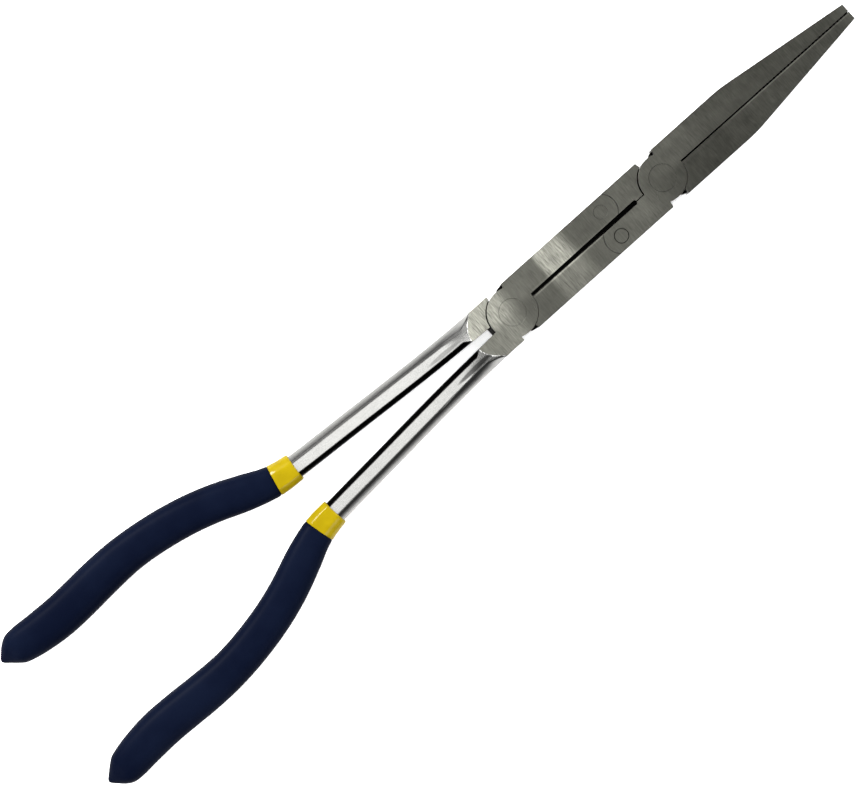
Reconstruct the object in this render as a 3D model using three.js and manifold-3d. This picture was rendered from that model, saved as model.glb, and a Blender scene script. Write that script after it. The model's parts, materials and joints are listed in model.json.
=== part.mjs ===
// Long-reach double-jointed fishing pliers, lying flat and closed.
// Two forged handle levers cross at the handle pivot, two jaws cross at the jaw pivot, and two link
// pivots join each lever's front arm to the tail of the jaw ahead of it. Millimetres.
import * as THREE from 'three';
import { mergeVertices } from 'three/addons/utils/BufferGeometryUtils.js';
import Module from 'manifold-3d';

const wasm = await Module();
wasm.setup();

// ---- Driving dimensions ----
// Working frame: x = 0 is the handle pivot and +X runs to the jaw tips, +Y to the left handle,
// z = 0 is the mid-plane where the two layers of each lap joint meet.
const LINK_PIVOT_X = 50.2;
const LINK_PIVOT_Y = 6.0;
const JAW_PIVOT_X = 76.5;
const TIP_X = 171.8;
const BUTT_X = -233.9;

const BODY_HALF_WIDTH = 11.0;
const BODY_HALF_THICKNESS = 5.25;
const BOSS_RADIUS = 9.4;
const LINK_END_RADIUS = 6.75;

const LAP_GAP = 0.2;          // between the two layers of a lap joint
const BOSS_CLEARANCE = 0.15;  // round a boss, in the other piece's recess
const LINK_CLEARANCE = 0.25;  // round a link end, in the other piece's recess
const RIVET_CLEARANCE = 0.12;
const LOOSE_RIVET_CLEARANCE = 0.25;

// The notch walls beside the bosses, measured from each main pivot. They lean in towards the boss.
const ARM_SHOULDER_X = 3.75;
const HANDLE_SHOULDER_X = -3.6;
const JAW_SHOULDER_X = 3.75;
const TAIL_SHOULDER_X = -4.3;
const SHOULDER_LEAN = 0.6;
const SHOULDER_FOOT_Y = 8;
const INSIDE_BOSS = 5;        // outlines start this far from a main pivot, within its boss

// The forging's mid-plane lugs and web stand back from both ground faces.
const LUG_HALF_THICKNESS = 2.5;
const ARM_LUG_X = 0.9;
const JAW_LUG_X = 1.8;
const LUG_REAR_Y = 9.8;
const LUG_FRONT_Y = 10.6;
const LUG_ROOT_X = 7;
const WEB_FRONT_X = -8;
const WEB_REAR_X = -11.2;
const WEB_HANDLE_Y = -2.5;
const WEB_INNER_Y = 0.7;

const SLOT_HALF_REAR = 0.62;       // slot between the two arms
const SLOT_HALF_FRONT = 0.92;
const TAIL_STOP_X = 63.9;          // ahead of it the two tails close up and stop the jaws
const TAIL_STOP_HALF_GAP = 0.15;
const TAIL_STOP_RAMP = 0.5;

const JAW_TAPER_START_X = 114.7;
const JAW_THINNING_START_X = 106.7;
const TIP_HALF_WIDTH = 3.6;
const TIP_HALF_THICKNESS = 2.6;
const JAW_HALF_GAP_REAR = 0.33;
const JAW_HALF_GAP_FRONT = 0.13;
const TEETH_START_X = 124;
const TOOTH_PITCH = 1.8;
const TOOTH_DEPTH = 0.35;

const MAIN_RIVET = { shank: 3.9, head: 5.3, headDepth: 1.6 };
const LINK_RIVET = { shank: 1.9, head: 2.7, headDepth: 1.0 };

const ROD_HALF_WIDTH = 4.65;
const TANG_FRONT_HALF_WIDTH = 4.2; // the rod slims to its tang inside the collar
const TANG_END_HALF_WIDTH = 4.1;
const FLATTEN = 0.86;              // thickness over width, all along the handle
const FLARE_RISE = 1.5;            // added to it where the rod meets the joint
const ROD_FRONT_X = -11;
const SHANK_REAR_X = -12.5;
const SHANK_REAR_Y = -10.9;
const SHANK_INNER = [[SHANK_REAR_X, -1.25], [-9, -0.9], [-5, -2]];
const FLARE_REAR_X = -24;
const TANG_END_X = -222;
const COLLAR_FRONT_X = -100.8;
const GRIP_FRONT_X = -110.3;
const GRIP_HALF_WIDTH = 8.1;       // at the palm swell, the widest and thickest place
const COLLAR_HALF_WIDTH_FRONT = 5.65;
const COLLAR_HALF_WIDTH_REAR = 6.3;
const SLEEVE_HALF_WIDTH = 4.9;
const LAYER_GAP = 0.3;             // between tang, sleeve and grip
const SEAM_GAP = 0.15;             // between the collar's shoulder and the grip's mouth
const END_WALL = 1.4;              // closed end of the sleeve
const LAYER_LAP = 5;               // how far a sock or a bore runs on into the collar or past a mouth

const CIRCLE_STEPS = 28;
const END_ARC_STEPS = 10;          // round a link end, about a quarter circle
const ROD_STEP = 16;               // rings along the straight rod, its flare, the tang and the grip
const FLARE_STEP = 2.2;
const TANG_STEP = 6.4;
const GRIP_STEP = 6;
const COLLAR_STEP = 3.5;

// Centre line of the left handle: a straight rod, then the bend into the palm swell.
const HANDLE_LINE = [
  [-8, 5.7], [-38, 7.3], [-78, 9.93], [-98, 11.25], [-108, 12.3], [-114, 13.8], [-122, 16.95],
  [-134, 21.9], [-146, 25.6], [-160, 28.4], [-172, 29.65], [-184, 29.6], [-196, 29.0],
  [-206, 28.8], [-216, 29.5], [-226, 30.75], [-234, 30.7],
];
// Half width of the grip along the handle, from its mouth to its swell and its blunt point.
const GRIP_WIDTH = [
  [GRIP_FRONT_X, 6.3], [-114, 6.5], [-122, 7.15], [-134, 7.4], [-152, 7.55], [-168, 7.65],
  [-180, 7.95], [-190, GRIP_HALF_WIDTH], [-208, GRIP_HALF_WIDTH], [-217, 7.85], [-222, 7.55],
  [-225, 7.0], [-227.5, 6.0], [-230, 4.2], [-232, 2.3], [BUTT_X, 0.7],
];
const POINT_STATIONS = [-222, -225, -227.5, -230, -232, BUTT_X];

// ---- Solids ----
// A closed three.js geometry as a solid that can be joined and cut.
function solid(geometry) {
  const bare = geometry.clone();
  bare.deleteAttribute('normal');
  bare.deleteAttribute('uv');
  const merged = mergeVertices(bare, 1e-4);
  return new wasm.Manifold(new wasm.Mesh({
    numProp: 3,
    vertProperties: new Float32Array(merged.attributes.position.array),
    triVerts: new Uint32Array(merged.index.array),
  }));
}

function outline(points) {
  return new THREE.Shape(points.map(([x, y]) => new THREE.Vector2(x, y)));
}

// Points along an arc, from one angle in radians to another.
function arc(x, y, radius, from, to, steps) {
  return new THREE.EllipseCurve(x, y, radius, radius, from, to).getPoints(steps).map((p) => [p.x, p.y]);
}

// A flat plate of the given plan outline between two heights.
function plate(shape, low, high) {
  const geometry = new THREE.ExtrudeGeometry(shape, { depth: high - low, bevelEnabled: false });
  geometry.translate(0, 0, low);
  return solid(geometry);
}

function disc(x, y, radius, low, high) {
  return plate(outline(arc(x, y, radius, 0, 2 * Math.PI, CIRCLE_STEPS).slice(1)), low, high);
}

// A rivet through both layers: a shank with a flush cone head at both faces.
function rivet(x, y, { shank, head, headDepth }) {
  const top = BODY_HALF_THICKNESS;
  const neck = top - headDepth;
  const profile = [[0, -top], [head, -top], [shank, -neck], [shank, neck], [head, top], [0, top]];
  const geometry = new THREE.LatheGeometry(profile.map(([r, h]) => new THREE.Vector2(r, h)), CIRCLE_STEPS);
  geometry.rotateX(Math.PI / 2);
  geometry.translate(x, y, 0);
  return geometry;
}

// The hole a rivet needs, open past both faces.
function rivetHole(x, y, size, clearance) {
  const top = BODY_HALF_THICKNESS;
  const reach = 1;
  const neck = top - size.headDepth;
  const shank = disc(x, y, size.shank + clearance, -top - reach, top + reach);
  const cone = new THREE.CylinderGeometry(
    size.head + clearance, size.shank + clearance, size.headDepth, CIRCLE_STEPS);
  cone.rotateX(Math.PI / 2);
  cone.translate(x, y, (top + neck) / 2);
  const mouth = disc(x, y, size.head + clearance, top - 1e-3, top + reach);
  return shank.add(solid(cone)).add(mouth);
}

// Smooth curve of y over x through a few points given in order of falling x (cubic Hermite).
function through(points) {
  const slope = points.map((_, i) => {
    const before = points[Math.max(i - 1, 0)];
    const after = points[Math.min(i + 1, points.length - 1)];
    return (after[1] - before[1]) / (after[0] - before[0]);
  });
  return (x) => {
    let i = 0;
    while (i < points.length - 2 && x < points[i + 1][0]) i += 1;
    const [x0, y0] = points[i];
    const [x1, y1] = points[i + 1];
    const span = x1 - x0;
    const t = THREE.MathUtils.clamp((x - x0) / span, 0, 1);
    const t2 = t * t;
    const t3 = t2 * t;
    return (2 * t3 - 3 * t2 + 1) * y0 + (t3 - 2 * t2 + t) * span * slope[i]
      + (3 * t2 - 2 * t3) * y1 + (t3 - t2) * span * slope[i + 1];
  };
}

const handleLineAt = through(HANDLE_LINE);
const gripWidthAt = through(GRIP_WIDTH);

// Places along the handle from one x back to another, no further apart than the step.
function stationsBetween(front, rear, step) {
  const count = Math.max(1, Math.ceil((front - rear) / step));
  return Array.from({ length: count + 1 }, (_, i) => front + (rear - front) * i / count);
}

// The rod's section: a broad flat top, a narrow inner bevel and a wider rounded outer bevel.
// x = -1 is the outer side and x = +1 the side facing the other handle.
const OUTER_BEVEL = [[-1, 0.3], [-0.8, 0.72], [-0.36, 1]];
const INNER_BEVEL = [[0.72, 1], [1, 0.62]];
const upperHalf = [...OUTER_BEVEL, ...INNER_BEVEL];
const rodSection = outline([...upperHalf, ...upperHalf.map(([x, y]) => [x, -y]).reverse()]);

// The grip's section: a full, slightly squared oval.
const OVAL_SIDES = 20;
const OVAL_POWER = 2 / 2.5;
const ovalSection = outline(Array.from({ length: OVAL_SIDES }, (_, i) => {
  const angle = i / OVAL_SIDES * Math.PI * 2;
  const x = Math.cos(angle);
  const y = Math.sin(angle);
  return [Math.sign(x) * Math.abs(x) ** OVAL_POWER, Math.sign(y) * Math.abs(y) ** OVAL_POWER];
}));

// A prism bent along the left handle's centre line, one ring of vertices at each station.
function alongHandle(section, stations, halfWidthAt, flattenAt = () => FLATTEN) {
  const steps = stations.length - 1;
  const prism = new THREE.ExtrudeGeometry(section, { depth: steps, steps, bevelEnabled: false });
  const position = prism.attributes.position;
  const probe = 0.5;
  for (let i = 0; i < position.count; i += 1) {
    const x = stations[Math.round(position.getZ(i))];
    const rise = (handleLineAt(x - probe) - handleLineAt(x + probe)) / (2 * probe);
    const along = new THREE.Vector2(-1, rise).normalize();
    const half = halfWidthAt(x);
    const side = position.getX(i) * half;
    const up = position.getY(i) * half * flattenAt(x);
    // The section's -x side faces outwards, away from the other handle.
    position.setXYZ(i, x - along.y * -side, handleLineAt(x) - -along.x * side, up);
  }
  return solid(prism);
}

// Rotates a piece half a turn about the X axis, which carries a left piece onto its right twin.
function twin(piece) {
  return piece.rotate([180, 0, 0]);
}

// Where a link end's round meets the straight inner and outer edges of its arm or tail.
const INNER_TRIM = Math.asin((LINK_PIVOT_Y - SLOT_HALF_FRONT) / LINK_END_RADIUS);
const OUTER_TRIM = Math.asin((BODY_HALF_WIDTH - LINK_PIVOT_Y) / LINK_END_RADIUS);

// ---- Handle levers ----
const FACE = BODY_HALF_THICKNESS;
const CUT = FACE + 5;
const LAYER = LAP_GAP / 2;

// Half width of the rod, which slims inside the collar to the tang inside the grip.
function rodWidthAt(x) {
  const inCollar = THREE.MathUtils.smoothstep(-x, -COLLAR_FRONT_X, -GRIP_FRONT_X);
  const inGrip = THREE.MathUtils.smoothstep(-x, -GRIP_FRONT_X, -TANG_END_X);
  const tang = THREE.MathUtils.lerp(TANG_FRONT_HALF_WIDTH, TANG_END_HALF_WIDTH, inGrip);
  return THREE.MathUtils.lerp(ROD_HALF_WIDTH, tang, inCollar);
}

// The forging thickens towards the joint, where both faces are ground flat.
function rodFlattenAt(x) {
  const flare = 1 - THREE.MathUtils.smoothstep(-x, -ROD_FRONT_X, -FLARE_REAR_X);
  return FLATTEN + FLARE_RISE * flare;
}

const rodStations = [
  ...stationsBetween(ROD_FRONT_X, FLARE_REAR_X, FLARE_STEP),
  ...stationsBetween(FLARE_REAR_X, COLLAR_FRONT_X, ROD_STEP).slice(1),
  ...stationsBetween(COLLAR_FRONT_X, TANG_END_X, TANG_STEP).slice(1),
];

// A notch wall beside a boss, from its foot within the boss to the body's outer edge.
function shoulder(x, lean) {
  return [[x + lean, SHOULDER_FOOT_Y], [x, BODY_HALF_WIDTH]];
}

// A lug that fills the mid-plane corner between a boss and the shoulder ahead of it.
function lug(pivotX, lugX, shoulderX) {
  return outline([
    [pivotX + INSIDE_BOSS, SHOULDER_FOOT_Y],
    [pivotX + lugX, SHOULDER_FOOT_Y],
    [pivotX + lugX, LUG_REAR_Y],
    [pivotX + shoulderX, LUG_FRONT_Y],
    [pivotX + LUG_ROOT_X, LUG_FRONT_Y],
  ]);
}

const mirrored = (points) => points.map(([x, y]) => [x, -y]);

// The right handle's lever. Its handle is at -Y, its arm is at +Y and its boss is the upper layer.
// Turned half a turn about the X axis it is the left handle's lever too.
function upperLever() {
  const armShape = outline([
    [INSIDE_BOSS, SLOT_HALF_REAR],
    ...arc(LINK_PIVOT_X, LINK_PIVOT_Y, LINK_END_RADIUS, -INNER_TRIM, OUTER_TRIM, END_ARC_STEPS),
    ...shoulder(ARM_SHOULDER_X, -SHOULDER_LEAN).reverse(),
  ]);
  const shankShape = outline([
    ...mirrored(shoulder(HANDLE_SHOULDER_X, SHOULDER_LEAN)),
    [SHANK_REAR_X, SHANK_REAR_Y],
    ...SHANK_INNER,
  ]);
  const webShape = outline([
    [WEB_FRONT_X, WEB_HANDLE_Y], [WEB_FRONT_X, WEB_INNER_Y],
    [WEB_REAR_X, WEB_INNER_Y], [WEB_REAR_X, WEB_HANDLE_Y],
  ]);

  const rod = twin(alongHandle(rodSection, rodStations, rodWidthAt, rodFlattenAt));
  const wide = 6 * BODY_HALF_WIDTH;
  const betweenFaces = outline([[0, -wide], [0, wide], [BUTT_X, wide], [BUTT_X, -wide]]);
  return plate(armShape, -FACE, FACE)
    .add(plate(shankShape, -FACE, FACE))
    .add(rod.intersect(plate(betweenFaces, -FACE, FACE)))
    .add(plate(lug(0, ARM_LUG_X, ARM_SHOULDER_X), -LUG_HALF_THICKNESS, LUG_HALF_THICKNESS))
    .subtract(disc(0, 0, BOSS_RADIUS + BOSS_CLEARANCE, -CUT, LAYER))
    .subtract(disc(LINK_PIVOT_X, LINK_PIVOT_Y, LINK_END_RADIUS + LINK_CLEARANCE, -CUT, LAYER))
    .add(disc(0, 0, BOSS_RADIUS, LAYER, FACE))
    .add(plate(webShape, LAYER, LUG_HALF_THICKNESS))
    .subtract(rivetHole(0, 0, MAIN_RIVET, RIVET_CLEARANCE))
    .subtract(rivetHole(LINK_PIVOT_X, LINK_PIVOT_Y, LINK_RIVET, RIVET_CLEARANCE));
}

// ---- Jaws ----
// The jaw's inner edge from the teeth's first notch to the tip, as cross-cut serrations.
function teeth(halfGapAt) {
  const points = [];
  for (let x = TEETH_START_X; x + TOOTH_PITCH < TIP_X; x += TOOTH_PITCH) {
    points.push([x, halfGapAt(x)]);
    points.push([x + TOOTH_PITCH / 2, halfGapAt(x) + TOOTH_DEPTH]);
  }
  return points;
}

// The left jaw. Its jaw is at +Y, its tail is at -Y, and it laps on top at both of its pivots.
// Turned half a turn about the X axis it is the right jaw too.
function upperJaw() {
  const rearGapX = JAW_PIVOT_X + BOSS_RADIUS;
  const halfGapAt = (x) => THREE.MathUtils.mapLinear(
    x, rearGapX, TIP_X, JAW_HALF_GAP_REAR, JAW_HALF_GAP_FRONT);
  const jawShape = outline([
    ...shoulder(JAW_PIVOT_X + JAW_SHOULDER_X, -SHOULDER_LEAN),
    [JAW_TAPER_START_X, BODY_HALF_WIDTH],
    [TIP_X, TIP_HALF_WIDTH],
    [TIP_X, JAW_HALF_GAP_FRONT],
    ...teeth(halfGapAt).reverse(),
    [JAW_PIVOT_X + INSIDE_BOSS, JAW_HALF_GAP_REAR],
  ]);
  const sideLine = [
    [JAW_PIVOT_X, FACE], [JAW_THINNING_START_X, FACE], [TIP_X + 1, TIP_HALF_THICKNESS],
  ];
  const sideShape = outline([...sideLine, ...mirrored(sideLine).reverse()]);
  const side = new THREE.ExtrudeGeometry(sideShape, { depth: 4 * BODY_HALF_WIDTH, bevelEnabled: false });
  side.translate(0, 0, -2 * BODY_HALF_WIDTH);
  side.rotateX(Math.PI / 2);

  const tailShape = outline([
    [JAW_PIVOT_X - INSIDE_BOSS, -TAIL_STOP_HALF_GAP],
    [TAIL_STOP_X + TAIL_STOP_RAMP, -TAIL_STOP_HALF_GAP],
    [TAIL_STOP_X, -SLOT_HALF_FRONT],
    ...arc(LINK_PIVOT_X, -LINK_PIVOT_Y, LINK_END_RADIUS,
      Math.PI - INNER_TRIM, Math.PI + OUTER_TRIM, END_ARC_STEPS),
    ...mirrored(shoulder(JAW_PIVOT_X + TAIL_SHOULDER_X, SHOULDER_LEAN)).reverse(),
  ]);

  return plate(jawShape, -FACE, FACE)
    .add(plate(lug(JAW_PIVOT_X, JAW_LUG_X, JAW_SHOULDER_X), -LUG_HALF_THICKNESS, LUG_HALF_THICKNESS))
    .intersect(solid(side))
    .add(plate(tailShape, -FACE, FACE))
    .subtract(disc(JAW_PIVOT_X, 0, BOSS_RADIUS + BOSS_CLEARANCE, -CUT, LAYER))
    .subtract(disc(LINK_PIVOT_X, -LINK_PIVOT_Y, LINK_END_RADIUS + LINK_CLEARANCE, -CUT, LAYER))
    .add(disc(JAW_PIVOT_X, 0, BOSS_RADIUS, LAYER, FACE))
    .subtract(rivetHole(JAW_PIVOT_X, 0, MAIN_RIVET, RIVET_CLEARANCE))
    .subtract(rivetHole(LINK_PIVOT_X, -LINK_PIVOT_Y, LINK_RIVET, LOOSE_RIVET_CLEARANCE));
}

// ---- Handle covering ----
// The inner sleeve: a closed sock over the tang whose thick front end shows as a collar.
function leftSleeve() {
  const collarWidthAt = (x) => THREE.MathUtils.mapLinear(
    x, COLLAR_FRONT_X, GRIP_FRONT_X, COLLAR_HALF_WIDTH_FRONT, COLLAR_HALF_WIDTH_REAR);
  const end = TANG_END_X - LAYER_GAP;
  const collar = alongHandle(
    rodSection, stationsBetween(COLLAR_FRONT_X, GRIP_FRONT_X + SEAM_GAP, COLLAR_STEP), collarWidthAt);
  const sock = alongHandle(
    rodSection, stationsBetween(COLLAR_FRONT_X - LAYER_LAP, end - END_WALL, TANG_STEP),
    () => SLEEVE_HALF_WIDTH);
  const bore = alongHandle(
    rodSection, stationsBetween(COLLAR_FRONT_X + LAYER_LAP, end, TANG_STEP),
    (x) => rodWidthAt(x) + LAYER_GAP);
  return collar.add(sock).subtract(bore);
}

// The outer grip: a closed sock over the sleeve, swelling at the palm and pointed at the butt.
function leftGrip() {
  const body = stationsBetween(GRIP_FRONT_X, POINT_STATIONS[0], GRIP_STEP);
  const stations = [...body, ...POINT_STATIONS.slice(1)];
  const end = TANG_END_X - 2 * LAYER_GAP - END_WALL;
  const cavity = alongHandle(
    rodSection, stationsBetween(GRIP_FRONT_X + LAYER_LAP, end, TANG_STEP),
    () => SLEEVE_HALF_WIDTH + LAYER_GAP);
  return alongHandle(ovalSection, stations, gripWidthAt).subtract(cavity);
}

// ---- Materials and assembly ----
const groundSteel = { color: 0x7d7c78, roughness: 0.38, metalness: 1 };
const rivetSteel = { color: 0x86847f, roughness: 0.34, metalness: 1 };
const yellowDip = { color: 0xd9bf1c, roughness: 0.32, metalness: 0 };
const navyDip = { color: 0x141e3c, roughness: 0.62, metalness: 0 };

// A finished solid as three.js geometry.
function geometryOf(piece) {
  const { numProp, vertProperties, triVerts } = piece.getMesh();
  const geometry = new THREE.BufferGeometry();
  geometry.setAttribute('position', new THREE.BufferAttribute(vertProperties.slice(), numProp));
  geometry.setIndex(new THREE.BufferAttribute(triVerts.slice(), 1));
  geometry.computeVertexNormals();
  return geometry;
}

const pliers = new THREE.Group();
// The model's origin is under the middle of its length, on the surface the grips lie on.
pliers.position.set(-(TIP_X + BUTT_X) / 2, 0, FLATTEN * GRIP_HALF_WIDTH);

function place(name, geometry, finish) {
  const mesh = new THREE.Mesh(geometry, new THREE.MeshStandardMaterial(finish));
  mesh.name = name;
  pliers.add(mesh);
  return mesh;
}

// The second piece of each pair is the first turned half a turn about the X axis.
function placeTwin(name, geometry, finish) {
  place(name, geometry, finish).rotation.x = Math.PI;
}

const leverGeometry = geometryOf(upperLever());
place('right_handle_lever', leverGeometry, groundSteel);
placeTwin('left_handle_lever', leverGeometry, groundSteel);

const jawGeometry = geometryOf(upperJaw());
place('left_jaw', jawGeometry, groundSteel);
placeTwin('right_jaw', jawGeometry, groundSteel);

place('handle_pivot_rivet', rivet(0, 0, MAIN_RIVET), rivetSteel);
place('jaw_pivot_rivet', rivet(JAW_PIVOT_X, 0, MAIN_RIVET), rivetSteel);
place('left_link_rivet', rivet(LINK_PIVOT_X, LINK_PIVOT_Y, LINK_RIVET), rivetSteel);
place('right_link_rivet', rivet(LINK_PIVOT_X, -LINK_PIVOT_Y, LINK_RIVET), rivetSteel);

const sleeveGeometry = geometryOf(leftSleeve());
place('left_collar_sleeve', sleeveGeometry, yellowDip);
placeTwin('right_collar_sleeve', sleeveGeometry, yellowDip);

const gripGeometry = geometryOf(leftGrip());
place('left_grip', gripGeometry, navyDip);
placeTwin('right_grip', gripGeometry, navyDip);

export default pliers;
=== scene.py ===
# Long-reach double-jointed fishing pliers, lying flat and closed: two handle levers, two jaws,
# four rivets, two yellow sleeves and two navy grips, each shaped and finished as its own piece.
import json
import math

import bmesh
import bpy
import numpy as np
from mathutils import Matrix, Vector


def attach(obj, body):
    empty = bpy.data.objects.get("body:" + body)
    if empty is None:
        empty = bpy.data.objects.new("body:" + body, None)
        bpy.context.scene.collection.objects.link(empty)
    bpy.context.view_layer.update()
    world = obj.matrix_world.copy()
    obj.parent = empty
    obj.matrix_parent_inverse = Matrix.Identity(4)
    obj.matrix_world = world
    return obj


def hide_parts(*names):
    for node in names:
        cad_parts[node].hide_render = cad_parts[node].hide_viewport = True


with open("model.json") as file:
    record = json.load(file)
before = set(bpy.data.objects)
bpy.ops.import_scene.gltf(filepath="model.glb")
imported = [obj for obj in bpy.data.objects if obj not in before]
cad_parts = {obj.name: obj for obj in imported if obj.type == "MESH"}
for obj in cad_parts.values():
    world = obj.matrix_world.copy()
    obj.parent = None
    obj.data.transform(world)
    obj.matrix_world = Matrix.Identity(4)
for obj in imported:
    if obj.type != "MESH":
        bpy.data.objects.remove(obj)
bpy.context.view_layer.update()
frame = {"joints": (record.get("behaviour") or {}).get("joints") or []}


# ---------------------------------------------------------------------------------------------
# Handle levers. Each is one drop forging: front arm, joint boss and a long rod that runs on as a
# tang inside the grip, surface ground across the joint and arm and belt polished along the rod.
# Shapes are drawn in millimetres from the handle pivot.

MM = 0.001
pivots = {joint["name"]: Vector(joint["pos_m"]) for joint in frame["joints"]}
handle_pivot = pivots["handle_pivot"]
from_handle_pivot = Matrix.Translation(handle_pivot) @ Matrix.Scale(MM, 4)
link_x, link_y = ((pivots["left_link_pivot"] - handle_pivot) / MM).xy
jaw_x = (pivots["jaw_pivot"] - handle_pivot).x / MM

face = 5.25                 # half thickness at the ground faces
body_half = 11.0            # half width of the joint and arms
boss_radius = 9.4
handle_boss_radius = 9.85   # the boss between the two handles is a little larger
boss_clearance = 0.05
rear_gap = 0.2              # the recess stands this much further off behind each boss
shoulder_x = 3.75           # arms and jaws keep their full width up to here beside a boss
notch_x, notch_y = 3.15, 8.0     # and then dip to this corner
layer = 0.1                 # each lapped layer stands back this far from the mid-plane
edge_break = 0.08           # the stoned edges of ground and machined faces
past = 1                    # cutting shapes reach this far past what they cut
below_all = -face - 5

slot_half_rear = 0.62
slot_half_front = 0.92
slot_lip = 0.45             # a thin lip at the parting line of each arm closes the slot to light
lip_start, lip_end = 8.5, 52.3
lip_shape = [(lip_start, -slot_lip), (lip_end, -slot_lip), (lip_end, 0.5), (50, 3), (lip_start, 3)]
tail_lip_start = 51.8       # the jaw tails carry it on, in a layer of their own
lip_layer = 1.2
lug_half = 2.5              # half thickness of the unground forging beside and behind the joint
lever_lug = [(5, notch_y), (0.9, notch_y), (0.9, 10.3), (shoulder_x, 10.85), (7, 10.85)]
lever_web = [(-8, -2.5), (-8, 0.7), (-11.4, 0.7), (-11.4, -2.5)]

link_end_radius = 6.75
link_clearance = 0.12
link_end_inner = math.asin((link_y - slot_half_front) / link_end_radius)
link_end_outer = math.asin((body_half - link_y) / link_end_radius)

main_rivet = {"shank": 3.9, "head": 5.3, "depth": 1.6}
link_rivet = {"shank": 1.9, "head": 2.7, "depth": 1.0}
rivet_clearance = 0.02
loose_rivet_clearance = 0.2      # round the rivet that a jaw's tail turns on

rod_half = 4.65
flatten = 0.86              # thickness over width along the handle
collar_front = -100.8       # the yellow sleeve starts here,
grip_front = -110.3         # the navy grip here,
tang_end = -219             # and the rod ends here inside both
handle_line = [(-234, 30.7), (-226, 30.75), (-216, 29.5), (-206, 28.8), (-196, 29.0), (-184, 29.6),
               (-172, 29.65), (-160, 28.4), (-146, 25.6), (-134, 21.9), (-122, 16.95), (-114, 13.8),
               (-108, 12.3), (-98, 11.25), (-78, 9.93), (-38, 7.3), (-10, 6.2), (-3, 6.2)]


def ease(value, low, high):
    """0 below low, 1 above high, and an S-shaped ramp between."""
    t = min(max((value - low) / (high - low), 0.0), 1.0)
    return t * t * (3 - 2 * t)


def through(points):
    """A smooth curve of y over x through a few points, as a function of x."""
    xs, ys = zip(*points)
    last = len(points) - 1
    slopes = []
    for i in range(len(points)):
        before, after = max(i - 1, 0), min(i + 1, last)
        slopes.append((ys[after] - ys[before]) / (xs[after] - xs[before]))

    def curve(x):
        i = max(0, min(last - 1, int(np.searchsorted(xs, x, side="right")) - 1))
        span = xs[i + 1] - xs[i]
        t = min(max((x - xs[i]) / span, 0.0), 1.0)
        return ((2 * t**3 - 3 * t**2 + 1) * ys[i] + (t**3 - 2 * t**2 + t) * span * slopes[i]
                + (3 * t**2 - 2 * t**3) * ys[i + 1] + (t**3 - t**2) * span * slopes[i + 1])

    return curve


handle_y = through(handle_line)


def arc(x, y, radius, start, end, steps):
    """Points along an arc between two angles in radians."""
    angles = np.linspace(start, end, steps + 1)
    return [(x + radius * math.cos(a), y + radius * math.sin(a)) for a in angles]


def circle(x, y, radius, steps):
    """Points once round a full circle."""
    return arc(x, y, radius, 0, 2 * math.pi, steps)[:-1]


def piece(name, mesh_builder):
    """A new object in the scene from a bmesh."""
    mesh = bpy.data.meshes.new(name)
    mesh_builder.to_mesh(mesh)
    mesh_builder.free()
    made = bpy.data.objects.new(name, mesh)
    bpy.context.scene.collection.objects.link(made)
    return made


def lofted(name, rings):
    """A closed solid through rings of equal numbers of points, each a list of 3-D points."""
    bm = bmesh.new()
    loops = [[bm.verts.new(point) for point in ring] for ring in rings]
    count = len(loops[0])
    for low, high in zip(loops, loops[1:]):
        for i in range(count):
            j = (i + 1) % count
            bm.faces.new((low[i], low[j], high[j], high[i]))
    bm.faces.new(reversed(loops[0]))
    bm.faces.new(loops[-1])
    bmesh.ops.recalc_face_normals(bm, faces=bm.faces)
    return piece(name, bm)


def plate(outline, low, high):
    """A flat plate of the given plan outline between two heights."""
    return lofted("plate", [[(x, y, z) for x, y in outline] for z in (low, high)])


def disc(x, y, radius, low, high):
    return plate(circle(x, y, radius, 96), low, high)


def combine(base, tool, operation):
    """Joins, cuts or intersects two closed solids and uses up the tool."""
    step = base.modifiers.new("combine", "BOOLEAN")
    step.operation, step.object, step.solver = operation, tool, "EXACT"
    settle(base)
    bpy.data.objects.remove(tool)
    return base


def settle(base):
    """Applies the object's modifiers to its mesh."""
    evaluated = base.evaluated_get(bpy.context.evaluated_depsgraph_get())
    mesh = bpy.data.meshes.new_from_object(evaluated)
    base.modifiers.clear()
    base.data = mesh


def join(base, *tools):
    for tool in tools:
        combine(base, tool, "UNION")
    return base


def cut(base, *tools):
    for tool in tools:
        combine(base, tool, "DIFFERENCE")
    return base


def rivet_hole(x, y, size, clearance):
    """A shank hole with a cone mouth at the upper face, open past both faces."""
    heights = [(-face - past, size["shank"]), (face - size["depth"], size["shank"]),
               (face, size["head"]), (face + past, size["head"])]
    return lofted("hole", [[(px, py, z) for px, py in circle(x, y, r + clearance, 64)] for z, r in heights])


def finish_edges(base):
    """Breaks the sharp edges with a small round, and shades the rest smooth."""
    bevel = base.modifiers.new("edges", "BEVEL")
    bevel.width, bevel.segments, bevel.limit_method = edge_break, 2, "ANGLE"
    bevel.angle_limit = math.radians(35)
    bevel.use_clamp_overlap = False
    bevel.miter_outer = "MITER_ARC"
    settle(base)
    smooth(base, 50)
    weighted = base.modifiers.new("normals", "WEIGHTED_NORMAL")
    weighted.mode, weighted.weight, weighted.keep_sharp = "FACE_AREA", 50, True
    settle(base)


def smooth(base, angle=35):
    base.data.shade_smooth()
    base.data.set_sharp_from_angle(angle=math.radians(angle))


def placed(base, name, twin=False):
    """Moves a shape drawn from the handle pivot into the pliers' frame. A twin is turned half a
    turn about the long axis first, which carries an upper piece onto its lower partner."""
    made = base if not twin else bpy.data.objects.new(name, base.data.copy())
    if twin:
        bpy.context.scene.collection.objects.link(made)
        made.data.transform(Matrix.Rotation(math.pi, 4, "X"))
    made.name = made.data.name = name
    made.data.transform(from_handle_pivot)
    return made


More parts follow.
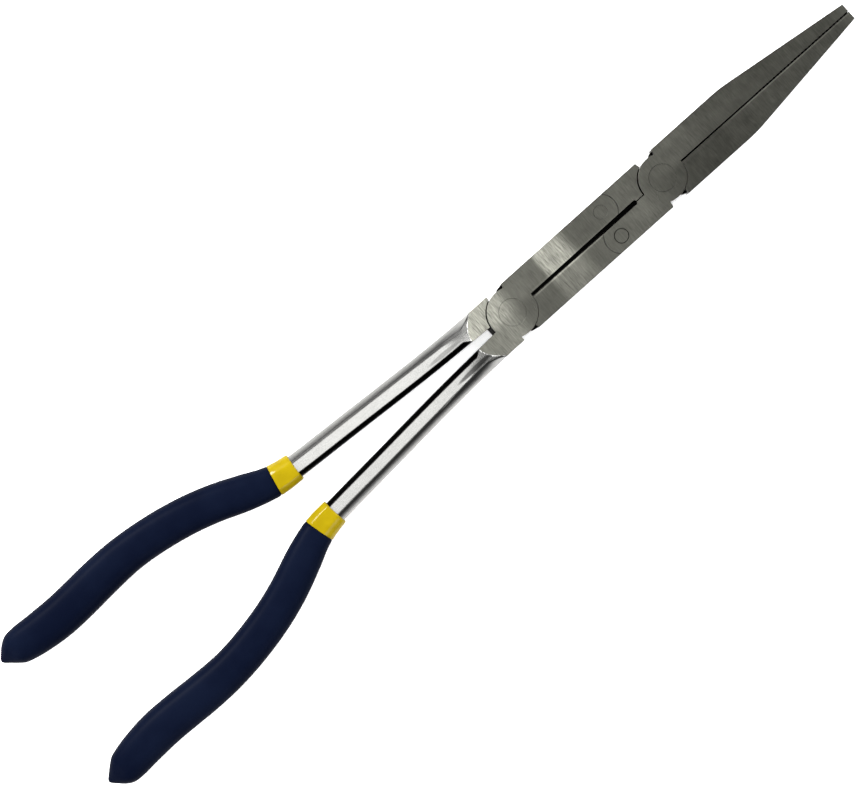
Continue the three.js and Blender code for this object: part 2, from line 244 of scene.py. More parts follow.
# The rod's section from its outer to its inner side: a wide rounded outer bevel, a flat top and a
# narrow inner bevel, each as (share of its own width, height over the flat's height).
outer_bevel = [(0.0, 0.0), (0.0, 0.2), (0.04, 0.36), (0.17, 0.54), (0.4, 0.73), (0.62, 0.87),
               (0.78, 0.945), (0.9, 0.985)]
flat_top = [(0.0, 0.998), (0.08, 1.0), (0.3, 1.0), (0.5, 1.0), (0.7, 1.0), (0.92, 1.0)]
inner_bevel = [(0.0, 0.995), (0.1, 0.97), (0.35, 0.88), (0.6, 0.76), (0.8, 0.65), (0.93, 0.54),
               (1.0, 0.36)]
outer_ridge, inner_ridge = -0.3, 0.58
last_ridge = 0.99           # where a ridge is when its bevel has narrowed away
ridge_sway = 0.07           # the outer ridge swings inwards where the neck was blended by hand
sway_in, sway_out = (-48, -25), (-22, -14.5)
outer_bevel_end = (-20.5, -12.8)     # the bevels narrow to nothing between these places
inner_bevel_end = (-21.5, -18.2)
outer_bevel_power = 1.5

# The ground face ends in a curved line across the neck, given as (place across, x), and the flat
# top of the rod climbs to it over the neck.
face_end_at = through([(-1.0, -12.2), (-0.6, -14.3), (-0.3, -15.5), (-0.1, -16.6), (0.3, -17.8),
                       (0.8, -18.5), (1.0, -18.7)])
neck_length = 13.0
neck_power = 1.6
past_face_rise = 3          # how fast it would go on rising past that line

neck_swell = 0.13           # added to the rod's half width at the neck
tang_step = 0.45            # taken off it inside the sleeve
tang_taper = 0.1            # and by the end of the tang
rod_stations = [-3.6, -6, -8, -10, *np.arange(-11, -32, -0.5), *np.arange(-32, -50, -2),
                *np.arange(-50, -101, -5.5), *np.arange(-101, -217, -4), -217, -218.4, tang_end]


def rod_half_at(x):
    tang = tang_step * ease(-x, -collar_front, -grip_front) + tang_taper * ease(-x, -grip_front, -tang_end)
    return rod_half + neck_swell * ease(x, -26, -12) - tang


def ramp(value, low, high):
    return min(max((value - low) / (high - low), 0.0), 1.0)


def section_at(x):
    """The rod's whole section at one place: across from -1 to +1, and up in millimetres."""
    bulge = ease(x, *sway_in) * (1 - ease(x, *sway_out))
    ridge = outer_ridge + ridge_sway * bulge
    ridge = ridge + (-last_ridge - ridge) * ramp(x, *outer_bevel_end) ** outer_bevel_power
    inner = inner_ridge + (last_ridge - inner_ridge) * ramp(x, *inner_bevel_end)
    points = [(-1 + share * (ridge + 1), up) for share, up in outer_bevel]
    points += [(ridge + share * (inner - ridge), up) for share, up in flat_top]
    points += [(inner + share * (1 - inner), up) for share, up in inner_bevel]
    flat = flatten * min(rod_half, rod_half_at(x))
    upper = []
    for across, up in points:
        climb = (x - face_end_at(across)) / neck_length
        rise = max(1 + climb, 0) ** neck_power if climb < 0 else 1 + past_face_rise * climb
        upper.append((across, up * (flat + (face - flat) * rise)))
    return upper + [(across, -up) for across, up in reversed(upper) if up > 0]


def swept(x, half, section):
    """One ring of a section set square across the right handle's centre line, outer side to -Y."""
    tilt = math.atan(handle_y(x - 0.5) - handle_y(x + 0.5))
    y = -handle_y(x)
    return [(x - math.sin(tilt) * across * half, y + math.cos(tilt) * across * half, up)
            for across, up in section]


def upper_lever():
    arm = plate([(5, slot_half_rear)]
                + arc(link_x, link_y, link_end_radius, -link_end_inner, link_end_outer, 40)
                + [(shoulder_x, body_half), (notch_x, notch_y)], -face, face)
    lug = plate(lever_lug, -lug_half, lug_half)
    web = plate(lever_web, layer, lug_half)
    lip = plate(lip_shape, lip_layer, lug_half)
    rod = lofted("rod", [swept(x, rod_half_at(x), section_at(x)) for x in rod_stations])
    combine(rod, plate([(0, -60), (0, 60), (-240, 60), (-240, -60)], -face, face), "INTERSECT")
    lever = join(arm, rod, lug)
    handle_recess = handle_boss_radius + boss_clearance + rear_gap
    cut(lever, disc(-rear_gap, 0, handle_recess, below_all, layer),
        disc(link_x, link_y, link_end_radius + link_clearance, below_all, layer))
    join(lever, disc(0, 0, handle_boss_radius, layer, face), web, lip)
    cut(lever, rivet_hole(0, 0, main_rivet, rivet_clearance),
        rivet_hole(link_x, link_y, link_rivet, rivet_clearance))
    return lever


lever = upper_lever()
finish_edges(lever)


# Shader maths, written as arithmetic on sockets.
class Socket:
    """One output of a shader node. Arithmetic with it adds Math nodes."""

    def __init__(self, socket):
        self.socket = socket

    def node(self, kind, settings, inputs, output=0):
        """Any other node: its type, its settings, then the values or links of its sockets."""
        tree = self.socket.id_data
        made = tree.nodes.new(kind)
        for name, value in settings.items():
            if name == "stops":
                while len(made.color_ramp.elements) < len(value):
                    made.color_ramp.elements.new(0.5)
                for element, (place, colour) in zip(made.color_ramp.elements, value):
                    element.position, element.color = place, (*colour, 1)
            else:
                setattr(made, name, value)
        for name, value in inputs.items():
            if isinstance(value, Socket):
                tree.links.new(value.socket, made.inputs[name])
            else:
                made.inputs[name].default_value = value
        return Socket(made.outputs[output])

    def maths(self, operation, first, second=0.0):
        return self.node("ShaderNodeMath", {"operation": operation}, {0: first, 1: second})

    def __add__(self, other):
        return self.maths("ADD", self, other)

    def __radd__(self, other):
        return self.maths("ADD", other, self)

    def __sub__(self, other):
        return self.maths("SUBTRACT", self, other)

    def __rsub__(self, other):
        return self.maths("SUBTRACT", other, self)

    def __mul__(self, other):
        return self.maths("MULTIPLY", self, other)

    def __rmul__(self, other):
        return self.maths("MULTIPLY", other, self)

    def __truediv__(self, other):
        return self.maths("DIVIDE", self, other)

    def __pow__(self, other):
        return self.maths("POWER", self, other)

    def __abs__(self):
        return self.maths("ABSOLUTE", self)

    def ramp(self, low, high, to_low=0.0, to_high=1.0):
        """The value taken smoothly from one range to another."""
        ends = {"From Min": low, "From Max": high, "To Min": to_low, "To Max": to_high}
        return self.node("ShaderNodeMapRange", {"interpolation_type": "SMOOTHSTEP"}, {"Value": self, **ends})

    def ramp_straight(self, low, high):
        return self.node("ShaderNodeMapRange", {}, {"Value": self, "From Min": low, "From Max": high})

    def gauss(self):
        """A soft bump: 1 at nought, fading out either side."""
        return self.maths("EXPONENT", 0 - self * self)

    def highest(self, other):
        return self.maths("MAXIMUM", self, other)

    def sign(self):
        return self.maths("SIGN", self)

    def brightness(self):
        return self.node("ShaderNodeRGBToBW", {}, {0: self})

    def mix_value(self, first, second):
        """Two values mixed by this one."""
        return self.node("ShaderNodeMix", {"data_type": "FLOAT"}, {0: self, 2: first, 3: second})

    def mix(self, first, second):
        """Two colours mixed by this value."""
        return self.node("ShaderNodeMix", {"data_type": "RGBA"}, {0: self, 6: first, 7: second}, output=2)

    def stretched(self, scale):
        """These coordinates stretched by a different amount each way."""
        return self.node("ShaderNodeVectorMath", {"operation": "MULTIPLY"}, {0: self, 1: scale})

    def noise(self, scale, detail=2.0, rough=0.5):
        grains = {"Scale": scale, "Detail": detail, "Roughness": rough}
        return self.node("ShaderNodeTexNoise", {}, {"Vector": self, **grains})

    def part(self, index):
        """One of the three parts of a vector, as a value."""
        return self.node("ShaderNodeSeparateXYZ", {}, {0: self}, output=index)

    def bump(self, strength, distance):
        push = {"Strength": strength, "Distance": distance}
        return self.node("ShaderNodeBump", {}, {"Height": self, **push})


def blank(name):
    """A new material: itself, its surface shader, and its place and normal as sockets."""
    material = bpy.data.materials.new(name)
    material.use_nodes = True
    tree = material.node_tree
    shader = tree.nodes["Principled BSDF"]
    where = tree.nodes.new("ShaderNodeTexCoord")
    return material, shader, Socket(where.outputs["Object"]), Socket(where.outputs["Normal"])


def wire(shader, **sockets):
    """Links or sets the surface shader's sockets."""
    for name, value in sockets.items():
        target = shader.inputs[name.replace("_", " ")]
        if isinstance(value, Socket):
            target.id_data.links.new(value.socket, target)
        else:
            target.default_value = value


def grinding(place):
    """Parallel scratches left by a grinding wheel that ran across the pliers, fine over coarse."""
    fine = place.stretched((2600, 260, 260)).noise(1.0, 3.0, 0.6)
    coarse = place.stretched((900, 45, 45)).noise(1.0, 2.0, 0.5)
    return fine * 0.8 + coarse * 0.2


def grey(tone, warmth):
    """A neutral to slightly warm steel colour of the given brightness."""
    return tone.node("ShaderNodeCombineColor", {}, {0: tone, 1: tone * 0.998, 2: tone * warmth})


# Brightness of the ground faces along the pliers, in millimetres from the handle pivot: painted reflections
# of the lights make the joint and one band of the arms brighter than the rest, most of all on the left half.
left_painted_light = [(-16, 0.2), (-8, 0.175), (-2, 0.145), (4, 0.058), (14, 0.062), (18.5, 0.062), (20.5, 0.17),
              (30, 0.17), (35, 0.053), (50, 0.054), (64, 0.062), (76, 0.052), (90, 0.06), (105, 0.05),
              (120, 0.047), (150, 0.045), (165, 0.045), (172, 0.055)]
right_painted_light = [(-16, 0.085), (-8, 0.098), (-2, 0.10), (4, 0.048), (14, 0.049), (18, 0.05), (21, 0.093),
               (31, 0.09), (37, 0.053), (50, 0.055), (64, 0.071), (76, 0.045), (90, 0.032), (105, 0.037),
               (120, 0.047), (150, 0.046), (165, 0.045), (172, 0.055)]
painted_light_from, painted_light_to = -20, 180
recess_shade_tone = 0.001          # painted shade in the recesses and on inward-facing sides
wall_tone = 0.09            # the milled outer walls
jaw_thinning_x, jaw_thinning = 106.7, 0.0401      # where the jaws start to thin, and how fast

# Painted highlights: thin bright lines along the slot and the jaw line where the edges catch the key light:
# y, half width, where each fades in and out, what is left of it past the end, and how strong it is.
painted_edge_highlights = [(-1.15, 0.3, (9, 12), (42, 50), 0.0, 0.8),
                (1.1, 0.25, (9, 12), (56, 60), 0.0, 0.35),
                (-0.6, 0.25, (100, 125), (150, 172), 0.4, 1.3)]

# Over the handle pivot the rivet was ground off with the face until hardly a ring showed. Its
# broken edge takes the face's own tone, fading out between these squared distances.
flush_from, flush_to = 36.0, 44.0


def painted_light_along(along, light_table):
    """The painted light along the pliers, read from one of the tables above."""
    stops = [((x - painted_light_from) / (painted_light_to - painted_light_from), (tone, tone, tone)) for x, tone in light_table]
    way = along.ramp_straight(painted_light_from, painted_light_to)
    return way.node("ShaderNodeValToRGB", {"stops": stops}, {0: way}).brightness()


def ground_steel(name):
    """Surface-ground forged steel: cross scratches, painted bands of reflected light along the pliers, plain
    machined outer walls, and painted shade in every recess and on inward-facing walls."""
    material, shader, place, normal = blank(name)
    along = (place.part(0) - handle_pivot.x) / MM
    y = place.part(1) / MM
    lines = grinding(place)
    cloud = place.noise(130.0, 3.0, 0.55)
    streaks = place.stretched((1500, 150, 150)).noise(1.0, 2.0, 0.6)

    left = place.part(1).ramp(-0.0025, 0.0025)
    # painted light: the face tone along the pliers comes from the tables of painted reflection bands
    tone = left.mix_value(painted_light_along(along, right_painted_light), painted_light_along(along, left_painted_light))
    contrast = tone.ramp(0.05, 0.14, 0.5, 1.5)
    scratches = (lines - 0.5) * 1.9 + (streaks - 0.5) * 0.5
    tone = tone * (1 + scratches * contrast + (cloud - 0.5) * 0.7)
    # painted highlights along the slot and jaw edges
    edge_highlight_gain = 1
    for middle, half_width, start, end, rest, strength in painted_edge_highlights:
        edge = ((y - middle) / half_width).gauss() * along.ramp(*start) * along.ramp(*end, 1.0, rest)
        edge_highlight_gain = edge_highlight_gain + edge * strength
    tone = tone * edge_highlight_gain

    flush = (along * along + y * y).ramp(flush_from, flush_to, 1.0, 0.0)
    up = abs(normal.part(2)).ramp(0.75, 0.97).highest(flush)
    # Painted shade: faces sunk below the ground face take the dark recess tone, and so do walls facing
    # inwards; only outward walls show the milled tone.
    face_here = face - (along - jaw_thinning_x).highest(0.0) * jaw_thinning
    shaded_recess = (face_here - abs(place.part(2) - handle_pivot.z) / MM).ramp(0.3, 0.9)
    outward = (normal.part(1) * place.part(1).sign()).ramp(0.2, 0.5)
    milled = wall_tone + (cloud - 0.5) * 0.06 + (lines - 0.5) * 0.03
    wall = milled * outward + recess_shade_tone * (1 - outward)
    surface = up.mix_value(wall, shaded_recess.mix_value(tone, recess_shade_tone))
    wire(shader, Base_Color=grey(surface, 0.86), Metallic=1.0,
         Roughness=0.36 + (lines - 0.5) * 0.2 + (1 - up) * 0.08,
         Normal=lines.bump(0.35, 0.00004))
    return material


# The rod's flat top, as half widths across it and millimetres along it. A painted dark reflection dulls one
# oval patch near each neck, a painted highlight brightens the top where it runs out, and a painted highlight
# line runs beside the right-hand patch.
flat_tone_right, flat_tone_left = 0.152, 0.163
right_dark_reflection = ((-24.5, -0.08), (9.5, 0.21), (0.5, 1.2))     # middle, half size, fading range
left_dark_reflection = ((-30, -0.32), (8.0, 0.22), (0.3, 1.2))
right_dark_reflection_depth, left_dark_reflection_depth = 0.72, 0.4
neck_highlight_x, neck_highlight_half = -17, 3.5
neck_highlight_right, neck_highlight_left = 0.6, 1.6
neck_line_y, neck_line_slope = 6.2, 0.0393      # the straight part of the rod's centre line


def patch(along, across, middle, half_size, fading):
    """1 inside an oval, fading to 0 outside it."""
    away = ((along - middle[0]) / half_size[0]) ** 2.0 + ((across - middle[1]) / half_size[1]) ** 2.0
    return away.ramp(*fading, 1.0, 0.0)


def polished_steel():
    """Belt-polished rod: a bright flat top with fine lengthwise lines, a painted reflection on the outer
    bevel that greys it and runs dark along the flat, and painted shade that keeps the inner side nearly
    black."""
    material, shader, place, normal = blank("polished_steel")
    lines = place.stretched((90, 2600, 2600)).noise(1.0, 3.0, 0.6)
    cloud = place.noise(90.0, 2.0)
    grain = place.noise(2400.0, 2.0, 0.6)
    up = abs(normal.part(2))
    y = place.part(1)
    left = y.ramp(-0.0005, 0.0005)
    along = (place.part(0) - handle_pivot.x) / MM
    across = (abs(y) / MM - (neck_line_y + (-10 - along) * neck_line_slope)) / rod_half

    flat = left.mix_value(flat_tone_right, flat_tone_left)
    # painted dark reflection: an oval patch on the flat top near each neck
    flat = flat * (1 - patch(along, across, *right_dark_reflection) * (1 - left) * right_dark_reflection_depth)
    flat = flat * (1 - patch(along, across, *left_dark_reflection) * left * left_dark_reflection_depth)
    # painted highlight where the flat top runs out at the neck
    neck_highlight = ((along - neck_highlight_x) / neck_highlight_half).gauss()
    flat = flat * (1 + neck_highlight * left.mix_value(neck_highlight_right, neck_highlight_left))

    # painted reflection and shade by facing: the outer bevel is painted grey with a dark line next to the
    # flat, and the inner side is painted nearly black
    outward = (normal.part(1) * y.sign()).ramp(-0.1, 0.15)
    side = up.ramp(0.72, 0.86, 0.21, 0.012) * outward + recess_shade_tone * (1 - outward)
    top = up.ramp(0.955, 0.985)
    # painted shade on upward faces sunk near the mid-plane
    shaded_recess = abs(place.part(2) - handle_pivot.z).ramp(0.0026, 0.0033, 1.0, 0.0)
    # painted highlight line along the right rod's ridge near its neck
    ridge_highlight = ((across - 0.19 - ((along + 24) / 18) ** 2.0 * 0.2) / 0.04).gauss()
    ridge_highlight = ridge_highlight * along.ramp(-46, -40) * along.ramp(-18, -15, 1.0, 0.0) * (1 - left)
    tone = (top * (1 - shaded_recess)).mix_value(side, flat) + ridge_highlight * 0.12
    tone = tone * (1 + (lines - 0.5) * 0.35 + (grain - 0.5) * 0.5 + (cloud - 0.5) * 0.25)
    wire(shader, Base_Color=grey(tone, 0.965), Metallic=1.0,
         Roughness=0.22 + (lines - 0.5) * 0.12 + (1 - top) * 0.12,
         Normal=lines.bump(0.15, 0.00002))
    return material


steel_finishes = [ground_steel("ground_steel"), polished_steel()]
polish_start = 0.0095       # metres behind the handle pivot


def assign_lever_finishes(made):
    """Ground finish on the joint and arm, polished finish on the rod behind the ground face."""
    for finish in steel_finishes:
        made.data.materials.append(finish)
    for polygon in made.data.polygons:
        middle = polygon.center
        back = middle.x < handle_pivot.x - polish_start
        on_ground_face = abs(abs(middle.z - handle_pivot.z) - face * MM) < 0.00002
        polygon.material_index = 1 if back and not on_ground_face else 0


def show(made, body, node):
    """Rides a visible piece on its body, in place of its CAD node."""
    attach(made, body)
    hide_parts(node)


left_lever = placed(lever, "left_lever", twin=True)
right_lever = placed(lever, "right_lever")
for made, body, node in ((right_lever, "right_handle", "right_handle_lever"),
                         (left_lever, "left_handle", "left_handle_lever")):
    assign_lever_finishes(made)
    show(made, body, node)


# ---------------------------------------------------------------------------------------------
# Jaws. Each is one forging: a tail, a joint boss and a long flat jaw, ground on both sides and
# tapered to a square-cut tip, with fine cross-cut teeth on its inner face.

tip_x = 171.79
taper_x = 114.7
tip_half = 3.6
tip_half_thickness = 2.6
outer_turn = 60.0           # the long soft radius where the straight side turns into the taper
gap_rear, gap_front = 0.33, 0.16
tail_stop_x = 62.5          # ahead of it the two tails close up
jaw_back = jaw_x + 5        # where the jaw proper starts, inside its boss
jaw_lip = 0.03              # a thin rib in the bite closes the line between the jaws to light
rib_end, rib_back, rib_top = tip_x - 0.2, 1.5, 1.0
bite = 0.05                 # half the gap where the inner faces all but meet
inner_chamfer = 0.9
tooth_pitch, tooth_depth = 1.8, 0.35
teeth_start = 124
jaw_lug = [(jaw_back, notch_y), (jaw_x + 1.8, notch_y), (jaw_x + 1.8, 9.8), (jaw_x + shoulder_x, 10.6),
           (jaw_x + 7, 10.6)]
tail_inner = 0.15           # the tails stop this far short of the middle line
tail_lip_shape = [(tail_lip_start, -1.5), (jaw_x - 7, -1.5), (jaw_x - 7, 0.05), (tail_stop_x, 0.05),
                  (tail_stop_x, 0.3), (tail_lip_start, 0.3)]


def gap_at(x):
    """Half the gap between the jaws' ground faces."""
    return gap_rear + (gap_front - gap_rear) * (x - jaw_x - boss_radius) / (tip_x - jaw_x - boss_radius)


def jaw_outline():
    """The jaw in plan: its straight side, the turn into the taper, the tip, and back along the teeth."""
    slope = math.atan((body_half - tip_half) / (tip_x - taper_x))
    reach = outer_turn * math.tan(slope / 2)
    turn = arc(taper_x - reach, body_half - outer_turn, outer_turn, math.pi / 2, math.pi / 2 - slope, 8)
    teeth = []
    x = teeth_start
    while x + tooth_pitch < tip_x:
        teeth += [(x, bite), (x + tooth_pitch / 2, bite + tooth_depth)]
        x += tooth_pitch
    return ([(jaw_x + notch_x, notch_y), (jaw_x + shoulder_x, body_half)] + turn
            + [(tip_x, tip_half), (tip_x, bite)] + teeth[::-1] + [(jaw_back, bite)])


def upper_jaw():
    jaw = plate(jaw_outline(), -face, face)
    rib = plate([(jaw_back, -jaw_lip), (rib_end, -jaw_lip), (rib_end, rib_back), (jaw_back, rib_back)],
                layer, rib_top)
    join(jaw, plate(jaw_lug, -lug_half, lug_half), rib)
    side_line = [(jaw_x, face), (taper_x - 8, face), (tip_x + past, tip_half_thickness)]
    side_line += [(px, -pz) for px, pz in reversed(side_line)]
    side = lofted("side", [[(px, py, pz) for px, pz in side_line] for py in (-20, 20)])
    combine(jaw, side, "INTERSECT")
    for way in (1, -1):
        rings = []
        for x in (jaw_back, jaw_thinning_x, tip_x + past):
            height = face - max(x - jaw_thinning_x, 0) * jaw_thinning
            corner = [(-1, height + past), (gap_at(x), height + past), (gap_at(x), height),
                      (bite, height - inner_chamfer), (-1, height - inner_chamfer)]
            rings.append([(x, py, pz * way) for py, pz in corner])
        cut(jaw, lofted("chamfer", rings))
    tail = plate([(jaw_x - 5, -tail_inner), (tail_stop_x + 0.7, -tail_inner),
                  (tail_stop_x + 0.2, -slot_half_front)]
                 + arc(link_x, -link_y, link_end_radius,
                       math.pi - link_end_inner, math.pi + link_end_outer, 40)
                 + [(jaw_x - 4.3, -body_half), (jaw_x - 3.7, -notch_y)], -face, face)
    join(jaw, tail)
    cut(jaw, disc(jaw_x - rear_gap, 0, boss_radius + boss_clearance + rear_gap, below_all, layer),
        disc(link_x, -link_y, link_end_radius + link_clearance, below_all, layer))
    join(jaw, disc(jaw_x, 0, boss_radius, layer, face), plate(tail_lip_shape, layer, lip_layer - layer))
    cut(jaw, rivet_hole(jaw_x, 0, main_rivet, rivet_clearance),
        rivet_hole(link_x, -link_y, link_rivet, loose_rivet_clearance))
    return jaw


jaw = upper_jaw()
finish_edges(jaw)
right_jaw = placed(jaw, "right_jaw_forging", twin=True)
left_jaw = placed(jaw, "left_jaw_forging")
for made, body in ((left_jaw, "left_jaw"), (right_jaw, "right_jaw")):
    made.data.materials.append(steel_finishes[0])
    show(made, body, body)


# ---------------------------------------------------------------------------------------------
# Rivets. Round steel pins peened into cone mouths on both sides and ground flush with the faces,
# so that only a faint ring shows.

rim_round = 0.03
centre_radius = 0.02


def rivet(name, x, y, size, body, node):
    """A flush rivet: cone head, straight shank, cone head."""
    rim = size["head"] - edge_break * (size["head"] - size["shank"]) / size["depth"]
    profile = [(centre_radius, -face), (rim - rim_round, -face), (rim, -face + edge_break),
               (size["shank"], -face + size["depth"]), (size["shank"], face - size["depth"]),
               (rim, face - edge_break), (rim - rim_round, face), (centre_radius, face)]
    rings = [[(px, py, z) for px, py in circle(x, y, radius, 64)] for radius, z in profile]
    made = placed(lofted(name, rings), name)
    smooth(made)
    made.data.materials.append(rivet_steel)
    show(made, body, node)


rivet_steel = ground_steel("rivet_steel")
rivet("handle_rivet", 0, 0, main_rivet, "right_handle", "handle_pivot_rivet")
rivet("jaw_rivet", jaw_x, 0, main_rivet, "right_jaw", "jaw_pivot_rivet")
rivet("left_arm_rivet", link_x, link_y, link_rivet, "right_handle", "left_link_rivet")
rivet("right_arm_rivet", link_x, -link_y, link_rivet, "left_handle", "right_link_rivet")


# ---------------------------------------------------------------------------------------------
# Yellow sleeves. The first dip coat of glossy vinyl over the tang. It follows the rod's edges,
# and its thick front end shows ahead of the grip as a collar.

collar_rear = -110.15
sleeve_half = 4.9           # half width of the sleeve under the grip
sleeve_tip = tang_end - 1.7
rod_play = 0.3              # the bore stands this far off the tang
sleeve_section = [(across, up / rod_half) for across, up in section_at(-150)]


def dip_ring(x, half, section):
    """One ring of a dip coat: a section scaled to a half width, across the handle's centre line."""
    return swept(x, half, [(across, up * half) for across, up in section])


def sleeve():
    """A closed sock: outside from the front to the tip, then the bore from its end to the front."""
    outer = [(collar_front, 5.25), (collar_front - 0.12, 5.48), (collar_front - 0.4, 5.64),
             (collar_front - 0.9, 5.72), (-104, 5.86), (-107, 6.08), (collar_rear + 0.3, 6.28),
             (collar_rear, 6.2), (collar_rear - 0.05, sleeve_half)]
    outer += [(x, sleeve_half) for x in np.arange(-114, tang_end - 1.0, -3)]
    outer += [(sleeve_tip + 0.4, sleeve_half - 0.1), (sleeve_tip, sleeve_half - 0.8)]
    bore = [(tang_end - rod_play, rod_half_at(tang_end) - rod_play)]
    bore += [(x, rod_half_at(x) + rod_play) for x in np.arange(tang_end + 0.5, collar_front - 1, 4)]
    bore += [(collar_front - 0.5, rod_half_at(collar_front) + 0.12),
             (collar_front, rod_half_at(collar_front) + 0.15)]
    bm = bmesh.new()
    loops = [[bm.verts.new(point) for point in dip_ring(x, half, sleeve_section)]
             for x, half in outer + bore]
    tip_loop, bore_loop = loops[len(outer) - 1], loops[len(outer)]
    for here, following in zip(loops, loops[1:] + loops[:1]):
        if here is tip_loop:
            continue
        for i in range(len(here)):
            j = (i + 1) % len(here)
            bm.faces.new((here[i], here[j], following[j], following[i]))
    bm.faces.new(tip_loop)
    bm.faces.new(reversed(bore_loop))
    bmesh.ops.recalc_face_normals(bm, faces=bm.faces)
    return piece("sleeve", bm)


yellow_light, yellow_deep = (0.262, 0.194, 0.0018, 1), (0.223, 0.161, 0.0013, 1)


def yellow_vinyl():
    """Glossy yellow vinyl, a little cloudy, with the slow ripples of a dip coat."""
    material, shader, place, normal = blank("yellow_dip")
    cloud = place.noise(160.0, 3.0, 0.5)
    ripple = place.noise(420.0, 2.0, 0.5)
    colour = cloud.ramp(0.3, 0.7).mix(yellow_deep, yellow_light)
    tilt = abs(normal.part(2)).ramp(0.9, 0.985, 1.0, 0.0)
    wire(shader, Base_Color=colour, Roughness=0.4 + (ripple - 0.5) * 0.1,
         Coat_Weight=tilt * 0.3, Coat_Roughness=0.14, Specular_IOR_Level=0.02,
         Normal=ripple.bump(0.12, 0.0002))
    return material


yellow = yellow_vinyl()
coat = sleeve()
smooth(coat, 50)
left_sleeve = placed(coat, "left_sleeve", twin=True)
right_sleeve = placed(coat, "right_sleeve")
for made, side in ((left_sleeve, "left"), (right_sleeve, "right")):
    made.data.materials.append(yellow)
    show(made, f"{side}_handle", f"{side}_collar_sleeve")


# ---------------------------------------------------------------------------------------------
# Navy grips. The second dip coat, a thick matte vinyl sock that swells at the palm and runs to a
# blunt point where the last of the dip drained off.

butt_x = -233.9
grip_width = through([(butt_x, 0.7), (-233, 1.5), (-232, 2.45), (-230, 4.3), (-228, 5.8), (-226.5, 6.6),
                      (-225, 7.0), (-222, 7.44), (-217, 7.78), (-208, 8.1), (-190, 8.1), (-180, 7.95),
                      (-168, 7.65), (-152, 7.55), (-134, 7.4), (-122, 7.15), (-114, 6.5),
                      (grip_front, 6.3)])
oval_power = 2 / 2.5
oval_trim = 0.998           # the oval is drawn a hair under the grip's full thickness


def rounded(value):
    """A cosine or sine pushed outwards, which squares a circle up a little."""
    return math.copysign(abs(value) ** oval_power, value)


oval_section = [(rounded(math.cos(a)), rounded(math.sin(a)) * flatten * oval_trim)
                for a in np.linspace(0, 2 * math.pi, 49)[:-1]]


def grip():
    """A sock from its rounded front edge back to the drip point."""
    stations = [(grip_front, 5.75), (grip_front - 0.1, 5.98), (grip_front - 0.35, 6.18),
                (grip_front - 0.8, 6.3)]
    stations += [(x, grip_width(x)) for x in np.arange(grip_front - 1.6, -222, -2.5)]
    stations += [(x, grip_width(x)) for x in np.arange(-223, butt_x, -0.8)]
    stations += [(butt_x, 0.35)]
    return lofted("grip", [dip_ring(x, half, oval_section) for x, half in stations])


navy_light, navy_deep = (0.0024, 0.0042, 0.0122, 1), (0.0014, 0.0026, 0.0088, 1)


def navy_vinyl():
    """Matte navy vinyl with a fine pebbled skin and a faint sheen on its rounded sides."""
    material, shader, place, normal = blank("navy_dip")
    cloud = place.noise(55.0, 3.0, 0.5)
    pebble = place.noise(1500.0, 2.0, 0.55)
    dimples = place.noise(300.0, 2.0)
    colour = cloud.ramp(0.3, 0.7).mix(navy_deep, navy_light)
    tilt = abs(normal.part(2)).ramp(0.84, 0.985, 1.0, 0.0)
    wire(shader, Base_Color=colour, Roughness=0.5 + (pebble - 0.5) * 0.2 + (cloud - 0.5) * 0.1,
         Coat_Weight=tilt * 0.012, Coat_Roughness=0.32, Specular_IOR_Level=0.008,
         Normal=(pebble * 0.6 + dimples * 0.4).bump(0.25, 0.00015))
    return material


navy = navy_vinyl()
dip = grip()
smooth(dip, 60)
left_grip = placed(dip, "left_dip_grip", twin=True)
right_grip = placed(dip, "right_dip_grip")
for made, side in ((left_grip, "left"), (right_grip, "right")):
    made.data.materials.append(navy)
    show(made, f"{side}_handle", f"{side}_grip")


# ---------------------------------------------------------------------------------------------
# Stage. The pliers lie on a pale floor that glows a little, under a soft box over the middle and
# larger lights on all four sides, with the camera straight above.

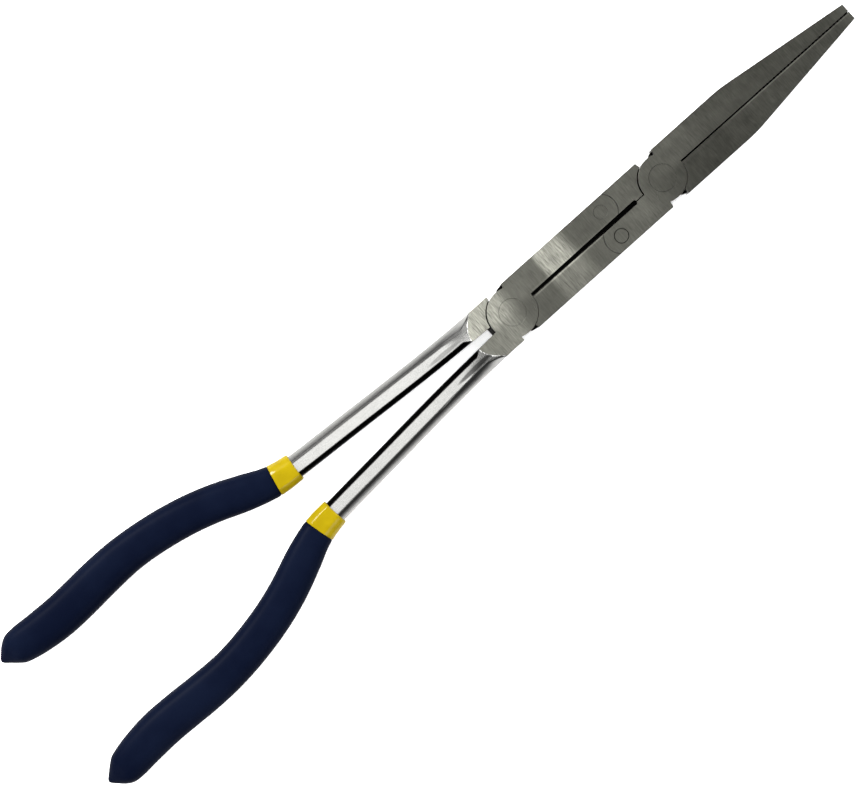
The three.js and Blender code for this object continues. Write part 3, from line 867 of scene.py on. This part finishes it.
floor_glow = 0.45
floor_half = 3.0
floor_drop = 0.0002
floor_bm = bmesh.new()
bmesh.ops.create_grid(floor_bm, x_segments=1, y_segments=1, size=floor_half)
floor = piece("floor", floor_bm)
floor_material, floor_shader = blank("pale_floor")[:2]
wire(floor_shader, Base_Color=(0.9, 0.9, 0.9, 1), Roughness=0.9, Specular_IOR_Level=0.1,
     Emission_Color=(1, 1, 1, 1), Emission_Strength=floor_glow)
floor.data.materials.append(floor_material)
floor.location.z = -floor_drop

aim = Vector((0, 0, 0))


def area_light(name, place, size, power):
    """A square light aimed at the middle of the pliers."""
    light = bpy.data.lights.new(name, "AREA")
    light.shape, light.size, light.energy = "SQUARE", size, power
    lamp = bpy.data.objects.new(name, light)
    lamp.location = place
    lamp.rotation_euler = (aim - Vector(place)).to_track_quat("-Z", "Y").to_euler()
    bpy.context.scene.collection.objects.link(lamp)


area_light("overhead_box", (-0.05, 0.05, 1.6), 0.55, 5.6)
area_light("key", (-0.3, 1.5, 1.3), 0.7, 74)
area_light("fill_near", (-0.2, -1.7, 1.5), 1.2, 16)
area_light("fill_back", (1.6, 0.2, 1.5), 1.2, 29)
area_light("fill_front", (-1.7, 0.0, 1.5), 1.2, 32)

world = bpy.data.worlds.new("studio")
bpy.context.scene.world = world
world.use_nodes = True
sky = world.node_tree
looking = Socket(sky.nodes.new("ShaderNodeTexCoord").outputs["Generated"])
sky_glow = looking.part(2).ramp(0.1, 0.9, 0.2, 0.4)
sky.links.new(sky_glow.socket, sky.nodes["Background"].inputs["Strength"])
sky.nodes["Background"].inputs["Color"].default_value = (1, 1, 1, 1)

image_width = 855
mm_per_pixel = 0.3815
sensor_width = 36
camera_height = 1.0
sight_point = Vector((-0.01395, -0.00187, handle_pivot.z))
roll = math.radians(41.85)
camera_data = bpy.data.cameras.new("camera")
camera_data.sensor_width = sensor_width
camera_data.lens = sensor_width * camera_height / (image_width * mm_per_pixel * MM)
camera = bpy.data.objects.new("camera", camera_data)
camera.location = sight_point + Vector((0, 0, camera_height))
camera.rotation_euler = (0, 0, -roll)
bpy.context.scene.collection.objects.link(camera)
bpy.context.scene.camera = camera
bpy.context.scene.view_settings.view_transform = "Standard"
